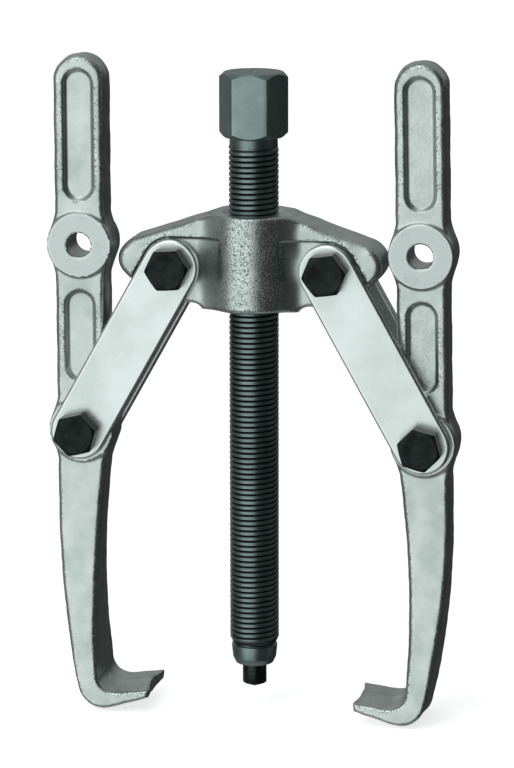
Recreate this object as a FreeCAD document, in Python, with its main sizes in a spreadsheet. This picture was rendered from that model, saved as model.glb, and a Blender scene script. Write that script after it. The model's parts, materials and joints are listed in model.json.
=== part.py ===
import FreeCAD, Part
import math
import os

Vector = FreeCAD.Vector
Rotation = FreeCAD.Rotation
Placement = FreeCAD.Placement

# Two-arm gear puller. Millimetres, +Z up, the spindle on the Z axis.
# z = 0 is where the cylinder of the spindle's tip pin meets its point.
# X runs from the left arm to the right arm, -Y is the front (bolt heads).

doc = FreeCAD.newDocument("gear_puller")
sheet = doc.addObject("Spreadsheet::Sheet", "dims")

DRIVING = {
    # spindle
    "crestRadius": 6.95,
    "neckRadius": 6.6,
    "neckLength": 2.6,
    "headSeat": 157.3,
    "hexFlats": 17.0,
    "hexHeight": 18.0,
    "hexChamfer": 1.4,
    "threadEnd": 11.8,
    "noseRadius": 6.5,
    "noseTaper": 7.6,
    "noseTaperRadius": 6.15,
    "noseEnd": 6.0,
    "noseEndRadius": 5.3,
    "runOut": 0.5,
    "hexTurn": 3.0,
    # tip pin, free to stay still while the spindle turns
    "pinRadius": 3.4,
    "pinPoint": 1.3,
    "pinStemRadius": 2.7,
    "pinSocketDepth": 8.0,
    "runningGap": 0.05,
    # crosshead
    "bossRadius": 12.8,
    "bossTop": 136.3,
    "bossBottom": 110.0,
    "boreChamfer": 1.7,
    "linkPivotX": 22.15,
    "linkPivotZ": 121.0,
    "seatHalf": 6.0,
    "wingHalf": 7.3,
    "wingShoulderX": 10.2,
    "wingLower": 10.3,
    "wingTipX": 32.0,
    "wingTipZ": 1.8,
    "wingTipRadius": 6.0,
    "seatMargin": 0.8,
    "seatRun": 24.0,
    # straps
    "strapWidth": 16.0,
    "strapThickness": 3.0,
    "strapPitch": 55.0,
    "strapAngle": 29.2,
    "strapGap": 0.05,
    "strapEdge": 0.35,
    # fasteners
    "boltRadius": 3.46,
    "boltHoleRadius": 3.5,
    "boltFlats": 11.0,
    "boltHeadHeight": 4.8,
    "boltReach": 15.6,
    "headChamfer": 0.55,
    "nutHeight": 5.2,
    "nutFit": 0.02,
    "lockHeight": 1.3,
    "lockRadius": 4.6,
    "lockWall": 0.4,
    # arms, in each arm's own frame with the bolted hole at its origin
    "leftArmLean": 0.0,
    "rightArmLean": 1.1,
    "holePitch": 53.0,
    "armBossRadius": 9.2,
    "armBossHalf": 6.0,
    "barHalfWidth": 7.25,
    "barHalfDepth": 5.0,
    "barTop": 106.3,
    "clawHalf": 11.0,
    "clawBottom": -85.0,
    "clawToe": -20.6,
    "flareStart": -40.0,
    "flareEnd": -70.0,
    "flareRadius": 230.0,
    "wasteDepth": 60.0,
    "clawNotch": 1.5,
    "panelHalfWidth": 4.75,
    "panelDepth": 1.1,
    "lowerPanelFrom": 13.5,
    "lowerPanelTo": 40.5,
    "upperPanelFrom": 65.0,
    "upperPanelTo": 103.0,
}

for row, (name, value) in enumerate(DRIVING.items(), start=1):
    sheet.set(f"A{row}", name)
    sheet.set(f"B{row}", str(value))
    sheet.setAlias(f"B{row}", name)
doc.recompute()


def dim(name):
    """A driving dimension, read back from the sheet."""
    return float(getattr(sheet, name))


def bind(obj, **links):
    """Tie properties of an object to expressions on the sheet."""
    for prop, expression in links.items():
        obj.setExpression(prop.replace("__", "."), expression)
    return obj


def origin_plane(body, role):
    return next(f for f in body.Origin.OriginFeatures if f.Role == role)


def new_body(label):
    body = doc.addObject("PartDesign::Body", label)
    body.Label = label
    return body


def sketch_on(body, name, role, curves, lift=0.0):
    """A sketch on one of the body's origin planes, lifted along its normal."""
    sketch = body.newObject("Sketcher::SketchObject", name)
    sketch.AttachmentSupport = [(origin_plane(body, role), "")]
    sketch.MapMode = "FlatFace"
    sketch.AttachmentOffset = Placement(Vector(0, 0, lift), Rotation())
    for curve in curves:
        sketch.addGeometry(curve, False)
    doc.recompute()
    return sketch


def line(a, b):
    return Part.LineSegment(Vector(a[0], a[1], 0), Vector(b[0], b[1], 0))


def arc(a, middle, b):
    return Part.Arc(*[Vector(p[0], p[1], 0) for p in (a, middle, b)])


def polygon(points):
    return [line(a, b) for a, b in zip(points, points[1:] + points[:1])]


def on_circle(centre, radius, degrees):
    angle = math.radians(degrees)
    return (centre[0] + radius * math.cos(angle), centre[1] + radius * math.sin(angle))


def rounded_path(corners):
    """Lines joined by tangent arcs: each corner is (x, y, radius), closed back to the first."""
    count = len(corners)
    ends = []
    for i, (x, y, radius) in enumerate(corners):
        here = Vector(x, y, 0)
        back = (Vector(*corners[i - 1][:2], 0) - here).normalize()
        ahead = (Vector(*corners[(i + 1) % count][:2], 0) - here).normalize()
        half = back.getAngle(ahead) / 2
        run = radius / math.tan(half)
        bisector = (back + ahead).normalize()
        crest = here + bisector * (radius / math.sin(half) - radius)
        ends.append((here + back * run, crest, here + ahead * run, radius))
    curves = []
    for i, (start, crest, end, radius) in enumerate(ends):
        if radius:
            curves.append(Part.Arc(start, crest, end))
        following = ends[(i + 1) % count][0]
        if (following - end).Length > 1e-4:
            curves.append(Part.LineSegment(end, following))
    return curves


def round_arc(centre, radius, start, end):
    """An arc through three points on a circle, angles in degrees."""
    middle = (start + end) / 2
    return arc(*[on_circle(centre, radius, a) for a in (start, middle, end)])


def pad(body, name, sketch, length):
    """Material on both sides of the sketch, its whole length bound to the sheet."""
    feature = body.newObject("PartDesign::Pad", name)
    feature.Profile = sketch
    feature.SideType = "Symmetric"
    bind(feature, Length=length)
    doc.recompute()
    return feature


def pocket(body, name, sketch, length, side="Symmetric", flip=False):
    """A cut from the sketch, checked to remove material."""
    before = body.Shape.Volume
    feature = body.newObject("PartDesign::Pocket", name)
    feature.Profile = sketch
    feature.SideType = side
    feature.Reversed = flip
    bind(feature, Length=length)
    doc.recompute()
    if feature.Shape.Volume > before - 1.0:
        raise RuntimeError(f"{name} cuts nothing")
    return feature


def mirror_across(body, name, feature, role):
    mirrored = body.newObject("PartDesign::Mirrored", name)
    mirrored.Originals = [feature]
    mirrored.MirrorPlane = (origin_plane(body, role), [""])
    body.Tip = mirrored
    doc.recompute()
    return mirrored


def cylinder(body, kind, name, base, axis, links):
    """An additive or subtractive cylinder standing on base, along axis."""
    feature = body.newObject(f"PartDesign::{kind}Cylinder", name)
    feature.Placement = Placement(Vector(*base), Rotation(Vector(0, 0, 1), Vector(*axis)))
    bind(feature, **links)
    doc.recompute()
    return feature


def cone(body, kind, name, base, links):
    feature = body.newObject(f"PartDesign::{kind}Cone", name)
    feature.Placement = Placement(Vector(*base), Rotation())
    bind(feature, **links)
    doc.recompute()
    return feature


def bevel_edges(body, name, wanted, size):
    """Chamfer the edges that the test accepts."""
    edges = [f"Edge{i}" for i, edge in enumerate(body.Shape.Edges, start=1) if wanted(edge)]
    base = body.Tip
    feature = body.newObject("PartDesign::Chamfer", name)
    feature.Base = (base, edges)
    bind(feature, Size=size)
    doc.recompute()
    return feature


def tangent_angle(point, centre, radius):
    """Where on a circle the tangent from a point to its upper left touches it, in degrees."""
    dx, dy = point[0] - centre[0], point[1] - centre[1]
    return math.degrees(math.atan2(dy, dx) - math.acos(radius / math.hypot(dx, dy)))


# ---- crosshead ----

def make_crosshead():
    """Forged yoke: a central boss with two sloping wings that carry the strap pivots."""
    body = new_body("crosshead")
    lift = dim("linkPivotZ")
    top = dim("bossTop") - lift
    low = -dim("wingLower")
    pivot = (dim("linkPivotX"), 0.0)
    tip = (dim("wingTipX"), dim("wingTipZ"))
    tip_radius = dim("wingTipRadius")
    shoulder = (dim("wingShoulderX"), top)

    # the slope of the wing's top touches the round of its tip
    upper = tangent_angle(shoulder, tip, tip_radius)
    # the underside touches the tip's round and the round below the pivot
    reach = math.hypot(pivot[0] - tip[0], pivot[1] - tip[1])
    across = math.degrees(math.atan2(pivot[1] - tip[1], pivot[0] - tip[0]))
    swing = math.degrees(math.acos((tip_radius - dim("wingLower")) / reach))
    lower = across + swing

    def wing(sign):
        def at(p):
            return (sign * p[0], p[1] + lift)

        slope_end = on_circle(tip, tip_radius, upper)
        round_end = on_circle(tip, tip_radius, lower)
        under = on_circle(pivot, dim("wingLower"), lower)
        half = (lower + upper) / 2
        return [
            line(at((0, top)), at(shoulder)),
            line(at(shoulder), at(slope_end)),
            arc(at(slope_end), at(on_circle(tip, tip_radius, half)), at(round_end)),
            line(at(round_end), at(under)),
            arc(
                at(under),
                at(on_circle(pivot, dim("wingLower"), (lower - 90) / 2)),
                at((pivot[0], low)),
            ),
            line(at((pivot[0], low)), at((0, low))),
        ]

    outline = sketch_on(body, "yoke_outline", "XZ_Plane", wing(1) + wing(-1))
    pad(body, "yoke_wings", outline, "2 * dims.wingHalf")

    seat_radius = dim("strapWidth") / 2 + dim("seatMargin")
    tilt = dim("strapAngle")
    outer = on_circle((0, 0), seat_radius, tilt)
    run = dim("seatRun")  # past the wing's underside
    end = (outer[0] + run * math.sin(math.radians(tilt)), outer[1] - run * math.cos(math.radians(tilt)))
    inside = -pivot[0] / 2

    for side, sign in (("right", 1), ("left", -1)):
        def seat(p):
            return (sign * (p[0] + pivot[0]), p[1] + lift)

        middle = on_circle((0, 0), seat_radius, (90 + tilt) / 2)
        curves = [
            line(seat((inside, seat_radius)), seat((0, seat_radius))),
            arc(seat((0, seat_radius)), seat(middle), seat(outer)),
            line(seat(outer), seat(end)),
            line(seat(end), seat((inside, end[1]))),
            line(seat((inside, end[1])), seat((inside, seat_radius))),
        ]
        face = sketch_on(body, f"strap_seat_{side}", "XZ_Plane", curves, dim("seatHalf"))
        cut = pocket(body, f"seat_cut_{side}", face, "dims.wingHalf", "One side", True)
        mirror_across(body, f"seat_pair_{side}", cut, "XZ_Plane")

    cylinder(body, "Additive", "boss", (0, 0, dim("bossBottom")), (0, 0, 1),
             {"Radius": "dims.bossRadius", "Height": "dims.bossTop - dims.bossBottom"})
    cylinder(body, "Subtractive", "spindle_bore", (0, 0, dim("bossBottom")), (0, 0, 1),
             {"Radius": "dims.crestRadius + dims.runningGap", "Height": "dims.bossTop - dims.bossBottom"})
    cone(body, "Subtractive", "upper_countersink", (0, 0, dim("bossTop") - dim("boreChamfer")),
         {"Radius1": "dims.crestRadius + dims.runningGap",
          "Radius2": "dims.crestRadius + dims.runningGap + dims.boreChamfer",
          "Height": "dims.boreChamfer"})
    cone(body, "Subtractive", "lower_countersink", (0, 0, dim("bossBottom")),
         {"Radius1": "dims.crestRadius + dims.runningGap + dims.boreChamfer / 2",
          "Radius2": "dims.crestRadius + dims.runningGap",
          "Height": "dims.boreChamfer / 2"})
    for side, sign in (("right", 1), ("left", -1)):
        cylinder(body, "Subtractive", f"pivot_hole_{side}",
                 (sign * pivot[0], -dim("wingHalf"), lift), (0, 1, 0),
                 {"Radius": "dims.boltHoleRadius", "Height": "2 * dims.wingHalf"})
    return body


# ---- arms ----

def make_arm(label, placement):
    """Forged arm: a bar with two drilled bosses and a leg that flares into a claw."""
    body = new_body(label)
    half, bar = dim("barHalfWidth"), dim("barHalfDepth")
    claw, top = dim("clawHalf"), dim("barTop")
    crown = half - 0.01  # just short of a full half circle
    # bar, leg and claw seen from the front, outward is +X: corners and their radii
    curves = rounded_path([
        (-half, top, crown),
        (half, top, crown),
        (half, -46.0, 236.0),  # the leg's outer edge bows in
        (-0.9, -83.2, 8.0),  # heel
        (dim("clawToe") + 0.3, -77.0, 0.5),
        (dim("clawToe"), -73.8, 0.3),
        (-5.8, -75.8, 4.5),  # palm
        (-3.6, -43.0, 300.0),  # the leg's inner edge
        (-half, -6.0, 60.0),
    ])
    profile = sketch_on(body, "arm_profile", "XZ_Plane", curves)
    pad(body, "arm_blank", profile, "2 * dims.clawHalf")

    # seen from the side, the bar is slim and the leg flares to the claw's width
    past = 3.0
    waste = []
    for sign in (1, -1):
        waste += rounded_path([
            (sign * bar, top + past, 0),
            (sign * bar, dim("flareStart"), dim("flareRadius")),
            (sign * claw, dim("flareEnd"), 20.0),
            (sign * claw, dim("clawBottom"), 0),
            (sign * (claw + past), dim("clawBottom"), 0),
            (sign * (claw + past), top + past, 0),
        ])
    side = sketch_on(body, "arm_side", "YZ_Plane", waste)
    pocket(body, "arm_waist", side, "dims.wasteDepth")

    notch = notch_radius()
    cylinder(body, "Subtractive", "claw_notch",
             (dim("clawToe") + dim("clawNotch") - notch, 0, dim("clawBottom")), (0, 0, 1),
             {"Radius": "(dims.clawHalf ^ 2 + dims.clawNotch ^ 2) / (2 * dims.clawNotch)",
              "Height": "2 * dims.clawHalf"})

    for name, height in (("lower_boss", 0.0), ("upper_boss", dim("holePitch"))):
        cylinder(body, "Additive", name, (0, -dim("armBossHalf"), height), (0, 1, 0),
                 {"Radius": "dims.armBossRadius", "Height": "2 * dims.armBossHalf"})
    for name in ("lower_panel", "upper_panel"):
        alias = name.replace("_p", "P")
        low, high, width = dim(alias + "From"), dim(alias + "To"), dim("panelHalfWidth")
        base, crest = (0, low + width), (0, high - width)
        slot = [
            line((width, base[1]), (width, crest[1])),
            round_arc(crest, width, 0, 180),
            line((-width, crest[1]), (-width, base[1])),
            round_arc(base, width, 180, 360),
        ]
        face = sketch_on(body, name + "_outline", "XZ_Plane", slot, bar - dim("panelDepth"))
        cut = pocket(body, name, face, "2 * dims.panelDepth", "One side", True)
        mirror_across(body, name + "_pair", cut, "XZ_Plane")
    for name, height in (("bolted_hole", 0.0), ("spare_hole", dim("holePitch"))):
        cylinder(body, "Subtractive", name, (0, -dim("armBossHalf"), height), (0, 1, 0),
                 {"Radius": "dims.boltHoleRadius", "Height": "2 * dims.armBossHalf"})
    body.Placement = placement
    return body


def notch_radius():
    """Radius of the hollow in the claw's edge, from its depth across the claw."""
    return (dim("clawHalf") ** 2 + dim("clawNotch") ** 2) / (2 * dim("clawNotch"))


# ---- straps ----

def make_strap(label, placement):
    """Flat link with round ends, centred on y = 0 and hanging down from its upper hole."""
    body = new_body(label)
    half = dim("strapWidth") / 2
    foot = -dim("strapPitch")
    outline = [
        round_arc((0, 0), half, 0, 180),
        line((-half, 0), (-half, foot)),
        round_arc((0, foot), half, 180, 360),
        line((half, foot), (half, 0)),
    ]
    sketch = sketch_on(body, "strap_outline", "XZ_Plane", outline)
    pad(body, "strap_plate", sketch, "dims.strapThickness")
    bevel_edges(body, "strap_edges", lambda edge: edge.BoundBox.YLength < 1e-6, "dims.strapEdge")
    for name, height in (("upper_hole", 0.0), ("lower_hole", foot)):
        cylinder(body, "Subtractive", name, (0, -dim("strapThickness"), height), (0, 1, 0),
                 {"Radius": "dims.boltHoleRadius", "Height": "2 * dims.strapThickness"})
    body.Placement = placement
    return body


# ---- spindle and its pin ----

def make_hex(name, flats, height, chamfer):
    """A hexagonal prism whose corners are turned off at both ends."""
    prism = doc.addObject("Part::Prism", name + "_prism")
    prism.Polygon = 6
    bind(prism, Circumradius=f"{flats} / 2 / cos(30 deg)", Height=height)
    blank = doc.addObject("Part::Feature", name + "_blank")
    doc.recompute()
    corner = float(prism.Circumradius)
    tall = float(prism.Height)
    drop = chamfer * math.tan(math.radians(30))
    points = [
        Vector(0, 0, 0), Vector(corner - chamfer, 0, 0), Vector(corner, 0, drop),
        Vector(corner, 0, tall - drop), Vector(corner - chamfer, 0, tall), Vector(0, 0, tall),
    ]
    wire = Part.makePolygon(points + points[:1])
    blank.Shape = Part.Face(wire).revolve(Vector(0, 0, 0), Vector(0, 0, 1), 360)
    head = doc.addObject("Part::Common", name + "_hex")
    head.Base, head.Tool = prism, blank
    doc.recompute()
    return head


def make_spindle():
    """Forcing screw: hex head, neck, threaded length shown at its crest size, tapered nose."""
    body = doc.addObject("PartDesign::Body", "spindle_shank")
    outline = [
        (0, dim("headSeat") + dim("hexHeight") / 2),
        (dim("neckRadius"), dim("headSeat") + dim("hexHeight") / 2),
        (dim("neckRadius"), dim("headSeat") - dim("neckLength")),
        (dim("crestRadius"), dim("headSeat") - dim("neckLength") - dim("runOut")),
        (dim("crestRadius"), dim("threadEnd")),
        (dim("noseRadius"), dim("threadEnd") - dim("runOut")),
        (dim("noseTaperRadius"), dim("noseTaper")),
        (dim("noseEndRadius"), dim("noseEnd")),
        (0, dim("noseEnd")),
    ]
    sketch = sketch_on(body, "spindle_profile", "XZ_Plane", polygon(outline))
    turned = body.newObject("PartDesign::Revolution", "spindle_turned")
    turned.Profile = sketch
    turned.ReferenceAxis = (sketch, ["V_Axis"])
    turned.Angle = 360
    doc.recompute()
    cylinder(body, "Subtractive", "pin_socket", (0, 0, dim("noseEnd")), (0, 0, 1),
             {"Radius": "dims.pinStemRadius + dims.runningGap", "Height": "dims.pinSocketDepth"})
    head = make_hex("drive", "dims.hexFlats", "dims.hexHeight", dim("hexChamfer"))
    # one flat faces the front, turned by a few degrees
    head.Placement = Placement(Vector(0, 0, dim("headSeat")), Rotation(Vector(0, 0, 1), dim("hexTurn")))
    spindle = doc.addObject("Part::Fuse", "spindle")
    spindle.Base, spindle.Tool = body, head
    spindle.Label = "spindle"
    doc.recompute()
    return spindle


def make_tip_pin():
    """Hardened pin turning in the nose; its point centres on the shaft being pushed."""
    rod = doc.addObject("Part::Cylinder", "pin_rod")
    bind(rod, Radius="dims.pinRadius", Height="dims.noseEnd - dims.runningGap")
    stem = doc.addObject("Part::Cylinder", "pin_stem")
    bind(stem, Radius="dims.pinStemRadius",
         Height="dims.noseEnd + dims.pinSocketDepth - dims.runningGap")
    point = doc.addObject("Part::Cone", "pin_point")
    bind(point, Radius1="0", Radius2="dims.pinRadius", Height="dims.pinPoint")
    point.Placement.Base = Vector(0, 0, -dim("pinPoint"))
    pin = doc.addObject("Part::MultiFuse", "tip_pin")
    pin.Shapes = [rod, stem, point]
    pin.Label = "tip_pin"
    doc.recompute()
    return pin


# ---- fasteners ----

def make_bolt(label, placement):
    """Hinge bolt, head at z = 0 to its height, shank towards -Z."""
    head = make_hex(label, "dims.boltFlats", "dims.boltHeadHeight", dim("headChamfer"))
    shank = doc.addObject("Part::Cylinder", label + "_shank")
    reach = "dims.seatHalf + dims.strapGap + dims.strapThickness + dims.boltReach"
    bind(shank, Radius="dims.boltRadius", Height=reach)
    doc.recompute()
    shank.Placement.Base = Vector(0, 0, -float(shank.Height))
    bolt = doc.addObject("Part::Fuse", label)
    bolt.Base, bolt.Tool = head, shank
    bolt.Label = label
    bolt.Placement = placement
    doc.recompute()
    return bolt


def make_nut(label, placement):
    """Lock nut: hexagon plus a round collar that holds the nylon ring."""
    blank = make_hex(label, "dims.boltFlats", "dims.nutHeight", dim("headChamfer"))
    collar = doc.addObject("Part::Cylinder", label + "_collar")
    bind(collar, Radius="dims.lockRadius", Height="dims.nutHeight + dims.lockHeight")
    joined = doc.addObject("Part::Fuse", label + "_joined")
    joined.Base, joined.Tool = blank, collar
    bore = doc.addObject("Part::Cylinder", label + "_bore")
    bind(bore, Radius="dims.boltRadius + dims.nutFit", Height="dims.nutHeight + dims.lockHeight")
    drilled = doc.addObject("Part::Cut", label + "_drilled")
    drilled.Base, drilled.Tool = joined, bore
    groove = doc.addObject("Part::Cylinder", label + "_groove")
    bind(groove, Radius="dims.lockRadius - dims.lockWall", Height="dims.lockHeight")
    groove.Placement.Base = Vector(0, 0, dim("nutHeight") - dim("lockWall"))
    nut = doc.addObject("Part::Cut", label)
    nut.Base, nut.Tool = drilled, groove
    nut.Label = label
    nut.Placement = placement
    doc.recompute()
    return nut


def make_lock_ring(label, placement):
    """Nylon ring that grips the bolt's end inside the nut's collar."""
    outer = doc.addObject("Part::Cylinder", label + "_outer")
    tall = "dims.lockHeight - 2 * dims.nutFit"
    bind(outer, Radius="dims.lockRadius - dims.lockWall - dims.nutFit", Height=tall)
    inner = doc.addObject("Part::Cylinder", label + "_inner")
    bind(inner, Radius="dims.boltRadius + dims.nutFit", Height=tall)
    ring = doc.addObject("Part::Cut", label)
    ring.Base, ring.Tool = outer, inner
    for piece in (outer, inner):
        piece.Placement.Base = Vector(0, 0, dim("nutHeight") - dim("lockWall") + dim("nutFit"))
    ring.Label = label
    ring.Placement = placement
    doc.recompute()
    return ring


# ---- assembly ----

subparts = [make_crosshead(), make_spindle(), make_tip_pin()]

pivot_z = dim("linkPivotZ")
tilt = math.radians(dim("strapAngle"))
arm_x = dim("linkPivotX") + dim("strapPitch") * math.sin(tilt)
arm_z = pivot_z - dim("strapPitch") * math.cos(tilt)
strap_face = dim("seatHalf") + dim("strapGap")
head_face = strap_face + dim("strapThickness")
HEAD_TURN = {"upper_left": 4, "lower_left": 14, "upper_right": 8, "lower_right": 45}

for side, sign in (("left", -1), ("right", 1)):
    about_z = Rotation(Vector(0, 0, 1), 0 if sign > 0 else 180)
    lean = Rotation(Vector(0, 1, 0), -sign * dim(f"{side}ArmLean"))
    subparts.append(make_arm(f"arm_{side}", Placement(Vector(sign * arm_x, 0, arm_z), lean * about_z)))
    swing = Rotation(Vector(0, 1, 0), -sign * dim("strapAngle"))
    for row, y in (("front", -1), ("rear", 1)):
        centre = y * (strap_face + dim("strapThickness") / 2)
        place = Placement(Vector(sign * dim("linkPivotX"), centre, pivot_z), swing)
        subparts.append(make_strap(f"strap_{side}_{row}", place))
    for level, x, z in (("upper", dim("linkPivotX"), pivot_z), ("lower", arm_x, arm_z)):
        turn = Rotation(Vector(0, 0, 1), HEAD_TURN[f"{level}_{side}"])
        forward = Rotation(Vector(1, 0, 0), 90) * turn
        backward = Rotation(Vector(1, 0, 0), -90) * turn
        front = Placement(Vector(sign * x, -head_face, z), forward)
        back = Placement(Vector(sign * x, head_face, z), backward)
        subparts.append(make_bolt(f"bolt_{level}_{side}", front))
        subparts.append(make_nut(f"nut_{level}_{side}", back))
        subparts.append(make_lock_ring(f"lock_ring_{level}_{side}", back))

doc.recompute()
for obj in doc.Objects:
    if "Invalid" in obj.State or "Error" in obj.State:
        raise RuntimeError(f"{obj.Name} did not build: {obj.State}")
for part in subparts:
    if part.Shape.isNull() or not part.Shape.isValid() or len(part.Shape.Solids) != 1:
        raise RuntimeError(f"{part.Label} is not one good solid")

os.makedirs("parts", exist_ok=True)
for part in subparts:
    part.Shape.exportStep(os.path.join("parts", part.Label + ".step"))
    print(f"{part.Label:24s} {part.Shape.Volume:10.1f} mm3")
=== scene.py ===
import json
import math

import bmesh
import bpy
import numpy as np
from mathutils import Matrix, Vector


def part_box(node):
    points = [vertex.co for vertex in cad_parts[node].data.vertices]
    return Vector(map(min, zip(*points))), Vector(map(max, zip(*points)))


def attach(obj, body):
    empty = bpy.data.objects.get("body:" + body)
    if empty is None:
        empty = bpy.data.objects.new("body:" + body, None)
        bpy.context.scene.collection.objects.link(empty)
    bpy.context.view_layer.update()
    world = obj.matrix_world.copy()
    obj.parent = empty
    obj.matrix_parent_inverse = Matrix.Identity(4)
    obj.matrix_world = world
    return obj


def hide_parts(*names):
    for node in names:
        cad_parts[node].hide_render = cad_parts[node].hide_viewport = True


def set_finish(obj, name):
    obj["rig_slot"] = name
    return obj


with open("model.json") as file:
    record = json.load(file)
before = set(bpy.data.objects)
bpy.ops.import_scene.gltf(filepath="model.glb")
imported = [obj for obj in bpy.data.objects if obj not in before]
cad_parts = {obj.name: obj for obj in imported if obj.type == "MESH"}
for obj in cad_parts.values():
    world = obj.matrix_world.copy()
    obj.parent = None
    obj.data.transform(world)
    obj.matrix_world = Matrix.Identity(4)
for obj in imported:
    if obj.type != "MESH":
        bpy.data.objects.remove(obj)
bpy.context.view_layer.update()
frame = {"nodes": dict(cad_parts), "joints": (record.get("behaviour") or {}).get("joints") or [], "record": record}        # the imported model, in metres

millimetre = 0.001
sides = {"left": -1, "right": 1}
joints = {joint["name"]: joint for joint in frame["joints"]}


def jointPoint(name):
    return Vector(joints[name]["pos_m"])


class Value:
    # a socket that can stand in a sum
    def __init__(self, tree, socket):
        self.tree = tree
        self.socket = socket

    def math(self, operation, *others):
        node = self.tree.nodes.new("ShaderNodeMath")
        node.operation = operation
        for slot, term in zip(node.inputs, others):
            feed(self.tree, slot, term)
        return Value(self.tree, node.outputs[0])

    def __add__(self, other):
        return self.math("ADD", self, other)

    def __radd__(self, other):
        return self.math("ADD", other, self)

    def __sub__(self, other):
        return self.math("SUBTRACT", self, other)

    def __rsub__(self, other):
        return self.math("SUBTRACT", other, self)

    def __mul__(self, other):
        return self.math("MULTIPLY", self, other)

    def __rmul__(self, other):
        return self.math("MULTIPLY", other, self)

    def __truediv__(self, other):
        return self.math("DIVIDE", self, other)

    def __rtruediv__(self, other):
        return self.math("DIVIDE", other, self)

    def clamp(self, low=0.0, high=1.0):
        return self.math("MINIMUM", self.math("MAXIMUM", self, low), high)

    def apply(self, operation, *others):
        return self.math(operation, self, *others)


def feed(tree, slot, term):
    if isinstance(term, Value):
        tree.links.new(term.socket, slot)
    elif isinstance(term, bpy.types.NodeSocket):
        tree.links.new(term, slot)
    else:
        slot.default_value = term


class Bench:
    # a node tree with one method that adds a node
    def __init__(self, tree):
        self.tree = tree

    def add(self, kind, settings=None, inputs=None, out=0):
        node = self.tree.nodes.new(kind)
        for name, setting in (settings or {}).items():
            setattr(node, name, setting)
        for name, term in (inputs or {}).items():
            feed(self.tree, node.inputs[name], term)
        return Value(self.tree, node.outputs[out]) if node.outputs else node

    def join(self, a, b):
        self.tree.links.new(a, b)

    def mix(self, factor, first, second):
        return self.add(
            "ShaderNodeMix", {"data_type": "RGBA"}, {0: factor, 6: first, 7: second}, out=2)

    def noise(self, place, scale, detail=3.0, rough=0.55, distortion=0.0):
        return self.add("ShaderNodeTexNoise", {}, {
            "Vector": place, "Scale": scale, "Detail": detail, "Roughness": rough, "Distortion": distortion})

    def between(self, term, low, high, first=0.0, second=1.0):
        return self.add("ShaderNodeMapRange", {"interpolation_type": "SMOOTHSTEP"}, {
            "Value": term, "From Min": low, "From Max": high, "To Min": first, "To Max": second})


def joinRound(a, b, radius):
    # union with a fillet
    return np.maximum(np.minimum(a, b), radius) - np.hypot(
        np.maximum(radius - a, 0), np.maximum(radius - b, 0))


def meetRound(a, b, radius):
    # intersection with a rounded edge
    return np.minimum(np.maximum(a, b), -radius) + np.hypot(
        np.maximum(a + radius, 0), np.maximum(b + radius, 0))


def ease(t):
    t = np.clip(t, 0, 1)
    return t * t * (3 - 2 * t)


def roundedPath(corners, sag=0.01):
    # corners are (x, y, radius); the arcs come back as short chords
    points = []
    for i, (x, y, radius) in enumerate(corners):
        here = np.array([x, y], float)
        if radius == 0:
            points.append(here)
            continue
        back = np.array(corners[i - 1][:2], float) - here
        ahead = np.array(corners[(i + 1) % len(corners)][:2], float) - here
        back, ahead = back / np.linalg.norm(back), ahead / np.linalg.norm(ahead)
        half = math.acos(np.clip(back @ ahead, -1, 1)) / 2
        bisector = (back + ahead) / np.linalg.norm(back + ahead)
        centre = here + bisector * radius / math.sin(half)
        first = here + back * radius / math.tan(half) - centre
        last = here + ahead * radius / math.tan(half) - centre
        start = math.atan2(first[1], first[0])
        sweep = (math.atan2(last[1], last[0]) - start + math.pi) % (2 * math.pi) - math.pi
        steps = max(2, math.ceil(abs(sweep) / (2 * math.acos(1 - sag / radius))))
        for k in range(steps + 1):
            angle = start + sweep * k / steps
            points.append(centre + radius * np.array([math.cos(angle), math.sin(angle)]))
    return np.array(points)


def outlineDistance(points, x, y):
    # signed distance to a closed outline, negative inside
    x, y = np.broadcast_arrays(x, y)
    nearest = np.full(x.shape, 1e9)
    inside = np.zeros(x.shape, bool)
    for a, b in zip(points, np.roll(points, -1, axis=0)):
        edge = b - a
        along = np.clip(((x - a[0]) * edge[0] + (y - a[1]) * edge[1]) / max(edge @ edge, 1e-12), 0, 1)
        nearest = np.minimum(nearest, np.hypot(x - a[0] - along * edge[0], y - a[1] - along * edge[1]))
        if a[1] != b[1]:
            spans = (a[1] > y) != (b[1] > y)
            inside ^= spans & (x < a[0] + edge[0] * (y - a[1]) / (b[1] - a[1]))
    return np.where(inside, -nearest, nearest)


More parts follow.
